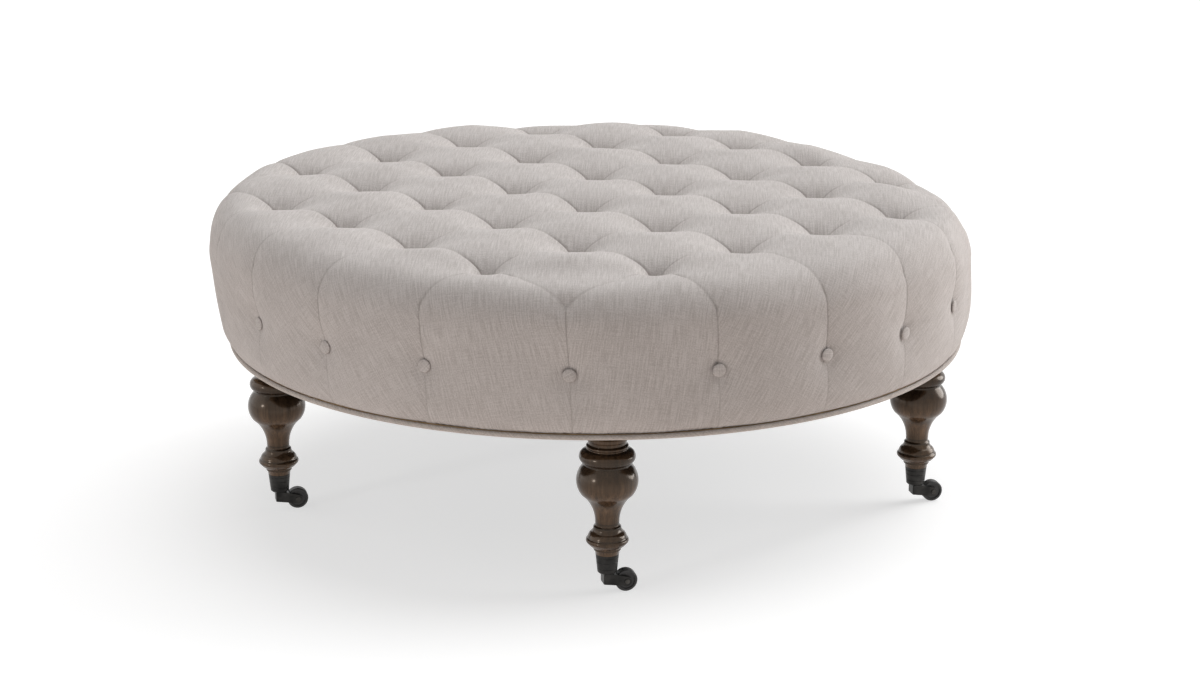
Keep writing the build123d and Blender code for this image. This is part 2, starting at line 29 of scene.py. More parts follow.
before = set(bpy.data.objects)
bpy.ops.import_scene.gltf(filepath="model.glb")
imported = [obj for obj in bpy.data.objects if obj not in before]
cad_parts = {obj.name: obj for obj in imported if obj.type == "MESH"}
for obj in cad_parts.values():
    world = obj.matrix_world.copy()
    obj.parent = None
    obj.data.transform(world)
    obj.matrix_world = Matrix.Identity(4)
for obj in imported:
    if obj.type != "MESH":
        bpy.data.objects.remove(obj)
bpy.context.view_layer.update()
print("frame loaded with", len(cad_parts), "nodes")

ottoman = {
    "waistRadius": 0.5334,
    "underside": 0.219,
    "legCount": 5,
    "legCircle": 0.467,
}

tufting = {
    "pitch": 0.1055,
    "turn": math.radians(-5),
    "fieldRadius": 0.445,
    "depth": 0.0288,
    "sideButtonHeight": 0.305,
    "sideButtonDepth": 0.0085,
}
cellHalf = tufting["pitch"] / math.sqrt(2)
mergeReach = 1e-7  # points nearer than this become one


def around(radius, turn, height=0.0):
    return Vector((radius * math.cos(turn), radius * math.sin(turn), height))


def legTurns():
    return [math.radians(360 / ottoman["legCount"] * i - 90) for i in range(ottoman["legCount"])]


def tuftPoints():
    reach = int(tufting["fieldRadius"] / tufting["pitch"])
    points = []
    for row in range(-reach, reach + 1):
        for column in range(-reach, reach + 1):
            radius = tufting["pitch"] * math.hypot(row, column)
            if (row + column) % 2 == 1 and radius < tufting["fieldRadius"]:
                points.append(around(radius, math.atan2(row, column) + tufting["turn"]))
    return points


def sideTurns():
    # one seam down the side from every place where a pleat of the top reaches the rim
    turns = []
    for quarter in range(4):
        middle = math.radians(90 * quarter) + tufting["turn"]
        turns.append(middle)
        for order in (1, 3):
            lean = math.acos(order * cellHalf / ottoman["waistRadius"]) - math.radians(45)
            turns += [middle + lean, middle - lean]
    return turns


# helpers for nodes, meshes and placing
def newMaterial(name):
    material = bpy.data.materials.new(name)
    material.use_nodes = True
    return material, material.node_tree, material.node_tree.nodes["Principled BSDF"]


def addNode(tree, kind, inputs=None, **settings):
    node = tree.nodes.new(kind)
    for key, value in settings.items():
        setattr(node, key, value)
    for key, value in (inputs or {}).items():
        if isinstance(value, bpy.types.NodeSocket):
            tree.links.new(value, node.inputs[key])
        else:
            node.inputs[key].default_value = value
    return node


def mathNode(tree, operation, first, second=0.0, third=0.0):
    return addNode(tree, "ShaderNodeMath", {0: first, 1: second, 2: third}, operation=operation).outputs[0]


def mixColours(tree, factor, first, second, blend="MIX"):
    node = addNode(tree, "ShaderNodeMix", {0: factor, 6: first, 7: second}, data_type="RGBA", blend_type=blend)
    return node.outputs[2]


def rampNode(tree, factor, stops):
    node = addNode(tree, "ShaderNodeValToRGB", {0: factor})
    ramp = node.color_ramp
    while len(ramp.elements) < len(stops):
        ramp.elements.new(0.5)
    for element, (position, colour) in zip(ramp.elements, stops):
        element.position = position
        element.color = colour
    return node.outputs[0]


def grey(value):
    return (value, value, value, 1)


def noiseAt(tree, vector, scale, stretch=(1, 1, 1), detail=2.0, roughness=0.5):
    mapped = addNode(tree, "ShaderNodeMapping", {"Vector": vector, "Scale": stretch}).outputs[0]
    made = addNode(
        tree, "ShaderNodeTexNoise", {"Vector": mapped, "Scale": scale, "Detail": detail, "Roughness": roughness}
    )
    return made.outputs[0]


def bumpNode(tree, height, strength, distance):
    inputs = {"Height": height, "Strength": strength, "Distance": distance}
    return addNode(tree, "ShaderNodeBump", inputs).outputs[0]


def srgb(red, green, blue):
    # written as the eye reads it, 0 to 255
    values = []
    for part in (red, green, blue):
        share = part / 255
        values.append(share / 12.92 if share <= 0.04045 else ((share + 0.055) / 1.055) ** 2.4)
    return (*values, 1)


def placePiece(name, mesh, material, body, replaced):
    piece = bpy.data.objects.new(name, mesh)
    bpy.context.scene.collection.objects.link(piece)
    mesh.materials.clear()
    mesh.materials.append(material)
    mesh.polygons.foreach_set("use_smooth", [True] * len(mesh.polygons))
    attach(piece, body)
    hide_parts(*replaced)
    return piece


def meshFrom(bm, name):
    bmesh.ops.remove_doubles(bm, verts=bm.verts, dist=mergeReach)
    bmesh.ops.recalc_face_normals(bm, faces=bm.faces)
    mesh = bpy.data.meshes.new(name)
    bm.to_mesh(mesh)
    bm.free()
    return mesh


def spinRound(bm, geom, steps):
    bmesh.ops.spin(
        bm, geom=geom, cent=(0, 0, 0), axis=(0, 0, 1), angle=2 * math.pi,
        steps=steps, use_merge=True, use_duplicate=False,
    )
    bmesh.ops.remove_doubles(bm, verts=bm.verts, dist=mergeReach)


def spinOutline(bm, outline, steps):
    # a closed solid of revolution from (radius, height) points, first and last on the axis
    verts = [bm.verts.new((radius, 0, height)) for radius, height in outline]
    edges = [bm.edges.new(pair) for pair in zip(verts, verts[1:])]
    spinRound(bm, verts + edges, steps)


# the covered buttons, which the cover's side pits also follow
button = {
    "radius": 0.0083,
    "edge": 0.0020,
    "dome": 0.0013,
    "flare": 1.02,
    "backShare": 0.96,
    "arcPoints": 7,
    "steps": 28,
    "topSeat": 0.3982,
    "sideProud": 0.0002,
}


# the cloth of the cover, the buttons and the welt
linen = {
    "pale": srgb(203, 197, 194),
    "deep": srgb(176, 169, 165),
    "slubPitch": 0.0016,
    "slubLength": 0.034,
    "warpShare": 0.68,
    "unevenness": [(560.0, 1.0, 0.42), (9.0, 3.0, 0.15)],  # scale, detail and show: fine grain, then soft clouds
    "threadPitch": 0.0012,
    "threadShow": 1.6,
    "weaveBump": 0.30,
    "weaveDepth": 0.0006,
    # painted shade: the dark colour laid along the pleat creases, the side seams and round the side buttons
    "creaseShadeColour": srgb(96, 82, 74),
    "creaseShadeShow": 0.75,
    "roughness": 0.88,
    "specular": 0.25,
    "sheen": 0.15,
    "sheenRoughness": 0.5,
}


def makeLinen(name, uvName, creaseShadeName=None, tint=None):
    material, tree, shader = newMaterial(name)
    uv = addNode(tree, "ShaderNodeUVMap", uv_map=uvName).outputs[0]
    across = 1 / linen["slubPitch"]
    along = 1 / linen["slubLength"]
    warp = noiseAt(tree, uv, 1.0, (across, along, 1), 3.0, 0.6)
    weft = noiseAt(tree, uv, 1.0, (along * 1.3, across * 1.1, 1), 3.0, 0.6)
    streak = mathNode(tree, "MULTIPLY", weft, 1 - linen["warpShare"])
    streak = mathNode(tree, "MULTIPLY_ADD", warp, linen["warpShare"], streak)
    for scale, detail, show in linen["unevenness"]:
        uneven = mathNode(tree, "SUBTRACT", noiseAt(tree, uv, scale, detail=detail), 0.5)
        streak = mathNode(tree, "MULTIPLY_ADD", uneven, show, streak)
    colour = rampNode(tree, streak, [(0.37, linen["deep"]), (0.62, linen["pale"])])
    if tint is not None:
        colour = mixColours(tree, 1.0, colour, tint, "MULTIPLY")
    scale = 2 * math.pi / 20 / linen["threadPitch"]  # a wave texture of scale 1 repeats every 2 pi / 20
    waves = []
    for direction in ("X", "Y"):
        inputs = {"Vector": uv, "Scale": scale, "Distortion": 0.0}
        wave = addNode(tree, "ShaderNodeTexWave", inputs, bands_direction=direction)
        waves.append(mathNode(tree, "SUBTRACT", wave.outputs[1], 0.5))
    weave = mathNode(tree, "MULTIPLY", waves[0], waves[1])
    weave = mathNode(tree, "MULTIPLY_ADD", weave, linen["threadShow"], streak)
    # painted shade along the creases, seams and button edges, read from the cover's point attribute
    if creaseShadeName is not None:
        creaseShade = addNode(tree, "ShaderNodeAttribute", attribute_name=creaseShadeName).outputs[2]
        shown = mathNode(tree, "MULTIPLY", creaseShade, linen["creaseShadeShow"])
        colour = mixColours(tree, shown, colour, linen["creaseShadeColour"])
    tree.links.new(colour, shader.inputs["Base Color"])
    tree.links.new(bumpNode(tree, weave, linen["weaveBump"], linen["weaveDepth"]), shader.inputs["Normal"])
    shader.inputs["Roughness"].default_value = linen["roughness"]
    shader.inputs["Specular IOR Level"].default_value = linen["specular"]
    shader.inputs["Sheen Weight"].default_value = linen["sheen"]
    shader.inputs["Sheen Roughness"].default_value = linen["sheenRoughness"]
    return material


# the tufted cover is one cloth over the pad and the side, drawn flat and laid over its form
cover = {
    "linesPerCell": 35,
    "cellsAcross": 10,
    "lineCrowding": 0.25,
    "lineEasing": 1.6,
    "flatReach": 0.445,          # the crown is flat out to here
    "apexAlong": 0.5275,         # where the paired pleats meet, in the flat drawing
    "rimAlong": 0.5334,          # where a single pleat turns down
    "shoulderShrink": 0.835,
    "seamSlits": (0.0, 0.0016, -0.0016, 0.0045, -0.0045),
    # tuft pits
    "pitFloor": 0.0068,
    "pitSpan": 0.30,
    "pitDepthSpread": 0.02,
    "pitReachSpread": 0.11,
    # how far a pit reaches and how fast it fades, every 45 degrees round it from +X on:
    # pillow, soft pleat, pillow, crisp pleat and so on, longest on the side that the cloth was pulled from
    "pitWays": [
        (0.0280, 0.85), (0.0250, 0.82), (0.0190, 0.88), (0.0235, 0.76),
        (0.0205, 0.80), (0.0240, 0.88), (0.0250, 0.90), (0.0250, 0.85),
    ],
    "pillowRise": 0.006,
    "pillowEasing": 0.8,
    "pillowsEnd": (0.44, 0.52),
    # pleats: the crisp family comes first, the soft one second
    "outermostPleat": 5,         # in half cells from the centre
    # widths of the painted shade line along each family's creases
    "creaseShadeWidths": (0.0028, 0.0022),
    "foldSteps": (0.0016, 0.0010),
    "foldStrengths": (1.0, 0.6),
    "foldFaintness": (0.16, 0.05),
    "foldStarts": (0.002, 0.012),
    "foldFades": (0.030, 0.070),
    "foldStepWidth": 0.010,
    "foldGroove": 0.0018,
    "foldGrooveWidth": 0.0012,
    "foldAtRim": 0.45,
    "rimNears": (0.462, 0.505),
    "rimEasing": 0.6,
    "rimEaseWidth": 0.012,
    "rimValley": 0.0012,
    "rimValleyWidth": 0.014,
    # side seams, where the pleats meet above them, and the pits of the side buttons
    "seamSpan": 0.30,
    "seamStarts": (0.5225, 0.5345),
    "seamFades": (0.040, 0.012),
    "seamValley": 0.0009,
    "seamValleyWidth": 0.010,
    "seamGroove": 0.0007,
    "seamGrooveWidth": 0.0013,
    # darkness and width of the painted shade line down each seam
    "seamShadeShow": 0.6,
    "seamShadeWidth": 0.0014,
    "apexDepths": (0.0020, 0.0006),
    "apexReach": 0.018,
    "sideStarts": (0.545, 0.56),
    "dimpleFloor": 0.0006,
    "dimpleReach": 0.026,
    "dimpleEasing": 0.95,
    # darkness and width of the painted shade ring round each side button
    "buttonEdgeShadeShow": 0.75,
    "buttonEdgeShadeWidth": 0.0010,
    # looser and fuller places of the rim: turn, half width in radians, and how far it drops
    "rimPlaces": [
        (math.radians(20), 0.60, 0.020),
        (math.radians(95), 0.70, 0.004),
        (math.radians(158), 0.10, -0.004),
    ],
    "rimBand": ((0.40, 0.505), (0.525, 0.575)),
    # the front slumps between its outermost tufts and the shoulder: turn, half width in radians, and how far
    "frontSlump": (math.radians(-95), 0.70, 0.013),
    "slumpBand": ((0.395, 0.465), (0.475, 0.545)),
    # radius and height of the inside, from under the foot up round the hoop and over the foam
    "insidePlaces": [(0.5122, 0.2260), (0.5122, 0.3350), (0.4954, 0.3352), (0.4954, 0.3703)],
    "lean": 0.0075,
    "leanHeights": (0.235, 0.42),
    "lowFullness": 0.0035,
    "waver": 0.0011,
    "waverCount": 10,
    "waverLengths": (0.10, 0.26),
    "seed": 7,
}

# radius and height down the outside, from the crown to the foot, before any tufting
coverOutline = [
    (0.000, 0.4320), (0.150, 0.4320), (0.300, 0.4318), (0.400, 0.4314), (0.440, 0.4308), (0.470, 0.4290),
    (0.495, 0.4235), (0.513, 0.4120), (0.525, 0.3950), (0.5315, 0.3760), (0.5336, 0.3550), (0.5330, 0.3300),
    (0.5318, 0.2960), (0.5292, 0.2690), (0.5250, 0.2450), (0.5202, 0.2320), (0.5170, 0.2275), (0.5125, 0.2253),
]


def smoothLine(points, count):
    # a Catmull-Rom line through the points, evened out by its length
    line = np.array(points, float)
    padded = np.vstack([2 * line[0] - line[1], line, 2 * line[-1] - line[-2]])
    parts = []
    for i in range(len(line) - 1):
        before, start, end, after = padded[i:i + 4]
        t = np.linspace(0, 1, 60, endpoint=False)[:, None]
        parts.append(
            0.5 * (2 * start + (end - before) * t + (2 * before - 5 * start + 4 * end - after) * t**2
                   + (3 * start - before - 3 * end + after) * t**3)
        )
    dense = np.vstack(parts + [line[-1:]])
    length = np.concatenate([[0], np.cumsum(np.linalg.norm(np.diff(dense, axis=0), axis=1))])
    even = np.linspace(0, length[-1], count)
    return even, np.column_stack([np.interp(even, length, dense[:, k]) for k in (0, 1)])


outlineLength, outlinePoints = smoothLine(coverOutline, 3000)
outlineSlope = np.gradient(outlinePoints, outlineLength, axis=0)

# the flat drawing shrinks over the shoulder, so that its straight pleats end where the real ones do
shrink = np.interp(
    outlineLength,
    [0, cover["flatReach"], cover["flatReach"] + 0.012, 0.541, 0.553, outlineLength[-1]],
    [1, 1, cover["shoulderShrink"], cover["shoulderShrink"], 1, 1],
)
drawnLength = np.concatenate([[0], np.cumsum((shrink[1:] + shrink[:-1]) / 2 * np.diff(outlineLength))])
coverEnd = drawnLength[-1]
print("cover drawn to", round(coverEnd, 4), "m from its centre")


def smoothStep(low, high, value):
    t = np.clip((value - low) / (high - low), 0, 1)
    return t * t * (3 - 2 * t)


def inBand(band, value):
    # rises over the band's first pair and falls over its second
    rising, falling = band
    return smoothStep(*rising, value) * (1 - smoothStep(*falling, value))


def dropAt(place, turn):
    # how far a loose place of the cloth drops, round its middle
    middle, width, drop = place
    return drop * np.exp(-((turnBetween(turn, middle) / width) ** 2))


def besideLine(distance, width):
    # 1 on a line, fading out to both sides of it
    return np.exp(-((distance / width) ** 2))


def onLine(distance, width):
    # 1 on a line, 0 from the width on
    return np.clip(1 - np.abs(distance) / width, 0, 1)


def leanAt(height):
    # the stuffing settled a little to one side, more so towards the crown
    return cover["lean"] * smoothStep(*cover["leanHeights"], height)


def turnBetween(turn, middle):
    return (turn - middle + math.pi) % (2 * math.pi) - math.pi


def nearestPleat(across):
    return np.round((across - cellHalf) / (2 * cellHalf)) * 2 * cellHalf + cellHalf


def drawCover():
    # flat cloth: a grid along the pleats, closer beside each pleat, cut round and slit beside each side seam
    lines = cover["linesPerCell"] * cover["cellsAcross"]
    half = cellHalf * cover["cellsAcross"]
    bm = bmesh.new()
    bmesh.ops.create_grid(bm, x_segments=lines, y_segments=lines, size=half)
    mesh = bpy.data.meshes.new("coverDrawing")
    bm.to_mesh(mesh)
    bm.free()
    flat = np.zeros(len(mesh.vertices) * 3)
    mesh.vertices.foreach_get("co", flat)
    flat = flat.reshape(-1, 3)
    for k in (0, 1):
        pleat = nearestPleat(flat[:, k])
        offset = flat[:, k] - pleat
        share = np.clip(np.abs(offset) / cellHalf, 0, 1)
        eased = cover["lineCrowding"] * share + (1 - cover["lineCrowding"]) * share ** cover["lineEasing"]
        flat[:, k] = pleat + np.sign(offset) * eased * cellHalf
    mesh.vertices.foreach_set("co", flat.ravel())
    bm = bmesh.new()
    bm.from_mesh(mesh)
    bpy.data.meshes.remove(mesh)
    spare = [v for v in bm.verts if v.co.length > coverEnd + 0.0015]
    bmesh.ops.delete(bm, geom=spare, context="VERTS")
    loose = [v for v in bm.verts if not v.link_faces]
    bmesh.ops.delete(bm, geom=loose, context="VERTS")
    for v in bm.verts:
        if v.is_boundary:
            v.co = v.co.normalized() * coverEnd
    turned = Matrix.Rotation(math.radians(45) + tufting["turn"], 3, "Z")
    bmesh.ops.rotate(bm, verts=bm.verts, cent=(0, 0, 0), matrix=turned)
    start = cover["apexAlong"] - 0.006
    outer = [f for f in bm.faces if f.calc_center_median().length > start]
    for turn in sideTurns():
        along = around(1, turn)
        side = Vector((-along.y, along.x, 0))
        near = [
            f for f in outer
            if f.is_valid and f.calc_center_median().dot(along) > start
            and abs(f.calc_center_median().dot(side)) < 0.012
        ]
        geom = list({e for f in near for e in f.edges} | {v for f in near for v in f.verts}) + near
        for offset in cover["seamSlits"]:
            cut = bmesh.ops.bisect_plane(bm, geom=geom, dist=1e-5, plane_co=side * offset, plane_no=side)
            geom = cut["geom"]
    return bm


def pleatDistances(x, y):
    # signed distance to the nearest pleat line of each family, and the place along it
    turned = math.radians(45) + tufting["turn"]
    a = x * math.cos(turned) + y * math.sin(turned)
    b = -x * math.sin(turned) + y * math.cos(turned)
    found = []
    for across, along in ((a, b), (b, a)):
        line = nearestPleat(across)
        found.append((across - line, line, along, nearestPleat(along)))
    return found


def pitFading(beyond, bearing):
    # blends the eight ways round a pit: gently over the pillows and soft pleats, with a crease at a crisp pleat
    ways = [(beyond / reach) ** power for reach, power in cover["pitWays"]]
    fading = np.zeros_like(beyond)
    for index in range(8):
        share = bearing / 45 - index
        inside = (share >= 0) & (share < 1)
        share = share[inside]
        if index % 4 == 3:
            eased = 1 - (1 - share) ** 2
        elif index % 4 == 2:
            eased = share**2
        else:
            eased = share * share * (3 - 2 * share)
        first, last = ways[index][inside], ways[(index + 1) % 8][inside]
        fading[inside] = first + (last - first) * eased
    return fading


def layCover(x, y):
    # where the drawing's point (x, y) lies on the finished ottoman, and how dark the painted shade of creases,
    # seams and button edges is there
    q = np.hypot(x, y)
    turn = np.arctan2(y, x)
    length = np.interp(q, drawnLength, outlineLength)
    radius = np.interp(length, outlineLength, outlinePoints[:, 0])
    height = np.interp(length, outlineLength, outlinePoints[:, 1])
    slope = np.column_stack([np.interp(length, outlineLength, outlineSlope[:, k]) for k in (0, 1)])
    slope /= np.linalg.norm(slope, axis=1)[:, None]
    normalOut, normalUp = -slope[:, 1], slope[:, 0]
    rng = np.random.default_rng(cover["seed"])

    # tuft pits: long valleys along the pleats, steeper walls up to the pillows between them
    pits = np.zeros_like(q)
    for point in tuftPoints():
        awayX, awayY = x - point.x, y - point.y
        away = np.hypot(awayX, awayY)
        near = np.flatnonzero(away < cover["pitSpan"])
        bearing = (np.degrees(np.arctan2(awayY[near], awayX[near]) - tufting["turn"])) % 360
        depth = tufting["depth"] * (1 + cover["pitDepthSpread"] * rng.uniform(-1, 1))
        stretch = 1 + cover["pitReachSpread"] * rng.uniform(-1, 1)
        beyond = np.clip(away[near] - cover["pitFloor"], 0, None) / stretch
        pits[near] += (depth * np.exp(-pitFading(beyond, bearing))) ** 3
    slump = inBand(cover["slumpBand"], q) * dropAt(cover["frontSlump"], turn)
    sunk = np.cbrt(pits + slump**3)

    # pillows stand up between the pleat lines
    families = pleatDistances(x, y)
    rise = np.ones_like(q)
    for offset, *_ in families:
        rise *= np.clip(np.abs(offset) / cellHalf, 0, 1) ** cover["pillowEasing"]
    onTop = 1 - smoothStep(*cover["pillowsEnd"], q)
    sunk += cover["pillowRise"] * (1 - rise) * onTop

    # pleats: a step to one side, a groove on the line, a soft valley over the rim, and a painted shade line
    # along the crease
    creaseShade = np.zeros_like(q)
    for family, (offset, line, along, crossing) in enumerate(families):
        last = cover["outermostPleat"] * cellHalf
        outermost = np.abs(np.abs(line) - last) < 0.5 * cellHalf
        used = (np.abs(line) < last + 0.5 * cellHalf) & (q < cover["rimAlong"] + 0.002)
        used &= ~outermost | (np.abs(along) < last + 0.0005)
        crossRadius = np.hypot(line, crossing)
        fromTuft = np.where(crossRadius < tufting["fieldRadius"], np.abs(along - crossing), np.inf)
        nearRim = smoothStep(*cover["rimNears"], q)
        atRim = smoothStep(cover["rimAlong"] - cover["rimEaseWidth"], cover["rimAlong"], q)
        rimEase = 1 - cover["rimEasing"] * atRim
        strength = cover["foldStrengths"][family] * (1 - smoothStep(*cover["foldFades"], fromTuft))
        least = cover["foldFaintness"][family] * (1 - nearRim) + cover["foldAtRim"] * nearRim
        strength = np.maximum(least, strength) * used * smoothStep(*cover["foldStarts"], fromTuft)
        step = np.where(offset > 1e-5, np.exp(-np.abs(offset) / cover["foldStepWidth"]), 0.0)
        sunk += cover["foldSteps"][family] * strength * step * (1 - 0.5 * nearRim) * rimEase
        groove = besideLine(offset, cover["foldGrooveWidth"])
        sunk += cover["foldGroove"] * strength * groove * (1 - 0.4 * nearRim)
        sunk += cover["rimValley"] * nearRim * besideLine(offset, cover["rimValleyWidth"]) * used * rimEase
        # painted shade: a thin dark line along the crease, strongest near the tufts
        creaseShade = np.maximum(creaseShade, strength * onLine(offset, cover["creaseShadeWidths"][family]))

    # side seams and their buttons, with painted shade down the seams and round the buttons
    belowRim = smoothStep(*cover["seamStarts"], q)
    fadesFrom, fadesTo = cover["seamFades"]
    footFade = 1 - smoothStep(coverEnd - fadesFrom, coverEnd - fadesTo, q)
    buttonHeight = tufting["sideButtonHeight"]
    for index, seam in enumerate(sideTurns()):
        swing = turnBetween(turn, seam)
        near = np.abs(swing) < cover["seamSpan"]
        across = radius * swing
        line = belowRim * near
        above = smoothStep(buttonHeight - 0.01, buttonHeight + 0.02, height)
        valley = besideLine(across, cover["seamValleyWidth"]) * line
        sunk += cover["seamValley"] * valley * (0.55 + 0.45 * above) * (0.25 + 0.75 * footFade)
        lineShow = (0.45 + 0.4 * above) * line
        sunk += cover["seamGroove"] * lineShow * besideLine(across, cover["seamGrooveWidth"])
        # painted shade: a thin dark line down each seam
        creaseShade = np.maximum(creaseShade, cover["seamShadeShow"] * lineShow * onLine(across, cover["seamShadeWidth"]))
        single = index % 5 != 0  # every fifth seam starts where two pleats meet
        apexAlong = cover["rimAlong"] if single else cover["apexAlong"]
        apexAway = np.hypot(q * np.sin(swing), q * np.cos(swing) - apexAlong)
        sunk += cover["apexDepths"][single] * np.exp(-((apexAway / cover["apexReach"]) ** 1.6)) * near
        dimple = np.hypot(across, height - buttonHeight)
        beyond = np.clip(dimple - button["radius"] - cover["dimpleFloor"], 0, None) / cover["dimpleReach"]
        onSide = smoothStep(*cover["sideStarts"], q) * near
        sunk += tufting["sideButtonDepth"] * np.exp(-(beyond ** cover["dimpleEasing"])) * onSide
        # painted shade: a thin dark ring round each side button, where it sinks into the cloth
        edge = onLine(dimple - button["radius"] - 0.0004, cover["buttonEdgeShadeWidth"])
        creaseShade = np.maximum(creaseShade, cover["buttonEdgeShadeShow"] * edge * onSide)

    # the hand's unevenness
    uneven = np.zeros_like(q)
    for _ in range(cover["waverCount"]):
        wave = rng.uniform(*cover["waverLengths"])
        heading = rng.uniform(0, 2 * math.pi)
        start = rng.uniform(0, 2 * math.pi)
        uneven += np.sin(2 * math.pi * (x * math.cos(heading) + y * math.sin(heading)) / wave + start)
    sunk += cover["waver"] / 3 * uneven * footFade

    # the rim isn't stuffed evenly
    for loosePlace in cover["rimPlaces"]:
        sunk += inBand(cover["rimBand"], q) * dropAt(loosePlace, turn)
    low = inBand(((0.545, 0.58), (coverEnd - 0.03, coverEnd - 0.002)), q)
    sunk -= cover["lowFullness"] * low * np.clip(-np.cos(turn), 0, 1) ** 1.5

    place = np.column_stack([
        (radius - sunk * normalOut) * np.cos(turn),
        (radius - sunk * normalOut) * np.sin(turn),
        height - sunk * normalUp,
    ])
    place[:, 0] -= leanAt(place[:, 2])
    return place, creaseShade, length, radius, turn


def clothMap(x, y, length, radius, turn, panelTurn):
    # where a point lies on the cloth before sewing: straight over the top, each side panel in its own lie
    q = np.hypot(x, y)
    eased = smoothStep(cover["rimAlong"], cover["rimAlong"] + 0.04, q)
    share = 1 + (radius / np.maximum(length, 1e-6) - 1) * eased
    lie = panelTurn + turnBetween(turn, panelTurn) * share
    return length * np.cos(lie - tufting["turn"]), length * np.sin(lie - tufting["turn"])


def makeCover():
    bm = drawCover()
    rim = [e for e in bm.edges if e.is_boundary]
    rings = []
    for _ in cover["insidePlaces"]:
        made = bmesh.ops.extrude_edge_only(bm, edges=rim)["geom"]
        rim = [g for g in made if isinstance(g, bmesh.types.BMEdge)]
        rings.append([g for g in made if isinstance(g, bmesh.types.BMVert)])
    bmesh.ops.contextual_create(bm, geom=rim)
    bm.verts.index_update()
    ringOf = {}
    for ring, place in zip(rings, cover["insidePlaces"]):
        for v in ring:
            ringOf[v.index] = place
    mesh = bpy.data.meshes.new("tuftedCover")
    bm.to_mesh(mesh)
    bm.free()
    flat = np.zeros(len(mesh.vertices) * 3)
    mesh.vertices.foreach_get("co", flat)
    flat = flat.reshape(-1, 3)
    x, y = flat[:, 0].copy(), flat[:, 1].copy()
    place, creaseShade, length, radius, turn = layCover(x, y)
    for index, (inRadius, inHeight) in ringOf.items():
        place[index] = (inRadius * math.cos(turn[index]), inRadius * math.sin(turn[index]), inHeight)
        creaseShade[index] = 0
    mesh.vertices.foreach_set("co", place.ravel())
    # how dark the painted shade of creases, seams and button edges is at each point
    shade = mesh.attributes.new("creaseShade", "FLOAT", "POINT")
    shade.data.foreach_set("value", creaseShade.astype(np.float32))
    # each panel between two seams is mapped from the cloth it was cut from
    cloth = mesh.uv_layers.new(name="cloth")
    corner = np.zeros(len(mesh.loops), np.int32)
    mesh.loops.foreach_get("vertex_index", corner)
    totals = np.zeros(len(mesh.polygons), np.int32)
    mesh.polygons.foreach_get("loop_total", totals)
    faceOf = np.repeat(np.arange(len(totals)), totals)
    centreX = np.bincount(faceOf, x[corner]) / totals
    centreY = np.bincount(faceOf, y[corner]) / totals
    centreTurn = np.arctan2(centreY, centreX)
    seams = np.sort(np.array(sideTurns()) % (2 * math.pi))
    gaps = np.append(seams, seams[0] + 2 * math.pi)
    middles = (gaps[:-1] + gaps[1:]) / 2
    where = (np.searchsorted(seams, centreTurn % (2 * math.pi)) - 1) % len(seams)
    panel = middles[where]
    u, v = clothMap(x[corner], y[corner], length[corner], radius[corner], turn[corner], panel[faceOf])
    cloth.data.foreach_set("uv", np.column_stack([u, v]).ravel())
    mesh.validate()
    mesh.update()
    return mesh


linenCover = makeLinen("linenCover", "cloth", "creaseShade")
coverMesh = makeCover()
tuftedCover = placePiece(
    "tuftedCover", coverMesh, linenCover, "ottoman", ("tufted_cushion", "side_padding")
)
print("cover laid,", len(coverMesh.polygons), "faces")


def buttonOutline():
    points = [(0, button["edge"] + button["dome"])]
    for i in range(1, button["arcPoints"] + 1):
        angle = math.radians(90 * i / button["arcPoints"])
        radius = button["radius"] * math.sin(angle)
        points.append((radius, button["edge"] + button["dome"] * math.cos(angle) ** 1.2))
    points.append((button["radius"] * button["flare"], button["edge"] * 0.6))
    points += [(button["radius"] * button["backShare"], 0.0002), (0, 0.0)]
    return points


def makeButtons(name, places, replaced):
    master = bmesh.new()
    spinOutline(master, buttonOutline(), button["steps"])
    single = bpy.data.meshes.new("oneButton")
    master.to_mesh(single)
    master.free()
    bm = bmesh.new()
    uvLayer = bm.loops.layers.uv.new("cloth")
    for number, matrix in enumerate(places):
        before = set(bm.faces)
        bm.from_mesh(single)
        faces = [f for f in bm.faces if f not in before]
        verts = list({v for f in faces for v in f.verts})
        swing = Matrix.Rotation(number * 0.7, 2)  # every button shows another piece of the weave
        for f in faces:
            for loop in f.loops:
                flat = swing @ Vector((loop.vert.co.x, loop.vert.co.y))
                loop[uvLayer].uv = (flat.x + number * 0.05, flat.y + number * 0.03)
        bmesh.ops.transform(bm, matrix=matrix, verts=verts)
    bpy.data.meshes.remove(single)
    mesh = bpy.data.meshes.new(name)
    bmesh.ops.recalc_face_normals(bm, faces=bm.faces)
    bm.to_mesh(mesh)
    bm.free()
    placePiece(name, mesh, linenButton, "ottoman", replaced)


linenButton = makeLinen("linenButton", "cloth")
topLean = leanAt(button["topSeat"])
topPlaces = [Matrix.Translation((p.x - topLean, p.y, button["topSeat"])) for p in tuftPoints()]
sideSeat = ottoman["waistRadius"] - tufting["sideButtonDepth"] + button["sideProud"]
sidePlaces = []
for turn in sideTurns():
    out = around(1, turn)
    facing = out.to_track_quat("Z", "Y").to_matrix().to_4x4()
    spot = around(sideSeat, turn, tufting["sideButtonHeight"])
    spot.x -= leanAt(tufting["sideButtonHeight"])
    sidePlaces.append(Matrix.Translation(spot) @ facing)
makeButtons("topButtons", topPlaces, ("top_buttons",))
makeButtons("sideButtons", sidePlaces, ("side_buttons",))
print("buttons covered")


# the covered cord round the foot
welt = {
    "radius": 0.0033,
    "circle": 0.5153,
    "height": 0.222,
    "steps": 540,
    "sides": 14,
    "tint": srgb(255, 252, 248),
}


